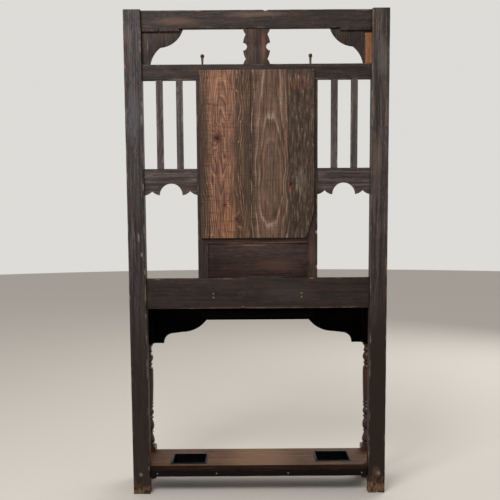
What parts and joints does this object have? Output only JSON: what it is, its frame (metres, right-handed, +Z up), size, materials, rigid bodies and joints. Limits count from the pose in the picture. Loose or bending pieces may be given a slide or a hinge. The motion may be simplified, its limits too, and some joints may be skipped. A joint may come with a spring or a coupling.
{
  "type": "hall stand",
  "caption": "Oak hall stand with an open slatted back, mirror, hat and coat hooks, a lidded glove box between umbrella wells, turned front legs and a shelf with drip trays.",
  "frame": {"origin": "on the floor, at the middle of the stand's width and depth", "axes": "+Z up, -Y out of the front towards the user, +X to the right of someone facing the front"},
  "size_m": [1.05, 0.24, 1.965],
  "materials": {
    "dark_oak": "dark stained oak, dull on its back",
    "polished_oak": "dark red-brown french-polished oak",
    "shelf_oak": "red-brown oak with a worn polish",
    "box_wood": "plain stained softwood",
    "backboard_pine": "rough sawn oxidised pine",
    "raw_pine": "fresh unstained pine",
    "mirror": "silvered bevelled glass",
    "tray_iron": "glossy black japanned sheet iron",
    "aged_brass": "tarnished cast brass",
    "nail_iron": "dull wrought nail heads",
    "fixing_plugs": "pale filler over screw and nail heads"
  },
  "bodies": {
    "stand": {"post_left": "dark_oak", "post_right": "dark_oak", "top_rail": "dark_oak", "upper_rail": "dark_oak", "cross_rail": "dark_oak", "stile_left": "dark_oak", "stile_right": "dark_oak", "side_rail_left": "dark_oak", "side_rail_right": "dark_oak", "slat_left_outer": "dark_oak", "slat_left_inner": "dark_oak", "slat_right_inner": "dark_oak", "slat_right_outer": "dark_oak", "top_splat": "dark_oak", "top_bracket_left": "dark_oak", "top_bracket_right": "dark_oak", "top_battens": "dark_oak", "repair_block": "raw_pine", "backboard_narrow": "backboard_pine", "backboard_wide": "backboard_pine", "backboard_nails": "nail_iron", "mirror_plate": "mirror", "mirror_bead_bottom": "dark_oak", "mirror_bead_right": "dark_oak", "mirror_bead_top": "dark_oak", "mirror_bead_left": "dark_oak", "panel_rail": "dark_oak", "lower_panel": "dark_oak", "box_back": "box_wood", "box_bottom": "box_wood", "box_side_left": "box_wood", "box_side_right": "box_wood", "front_apron": "polished_oak", "side_apron_left": "polished_oak", "side_apron_right": "polished_oak", "low_bracket_left": "polished_oak", "low_bracket_right": "polished_oak", "table_back_strip": "polished_oak", "table_front_strip_left": "polished_oak", "table_front_strip_right": "polished_oak", "table_end_left": "polished_oak", "table_end_right": "polished_oak", "hinge_table_leaves": "aged_brass", "hinge_pins": "aged_brass", "front_leg_left": "polished_oak", "front_leg_right": "polished_oak", "shelf_board": "shelf_oak", "shelf_front_rail": "polished_oak", "shelf_back_rail": "polished_oak", "shelf_side_rails": "polished_oak", "hook_inner_left": "aged_brass", "hook_inner_right": "aged_brass", "hook_outer_left": "aged_brass", "hook_outer_right": "aged_brass", "hook_screws": "aged_brass", "back_fixings": "fixing_plugs"},
    "lid": {"lid": "polished_oak", "hinge_lid_leaves": "aged_brass"},
    "tray_left": {"drip_tray_left": "tray_iron"},
    "tray_right": {"drip_tray_right": "tray_iron"}
  },
  "joints": [
    {"name": "lid_hinge", "type": "hinge", "parent": "stand", "child": "lid", "pos_m": [0, 0.0575, 0.8716], "axis": [-1, 0, 0], "range_deg": [0, 100]},
    {"name": "tray_left_lift", "type": "slide", "parent": "stand", "child": "tray_left", "axis": [0, 0, 1], "range_m": [0, 0.12]},
    {"name": "tray_right_lift", "type": "slide", "parent": "stand", "child": "tray_right", "axis": [0, 0, 1], "range_m": [0, 0.12]}
  ]
}
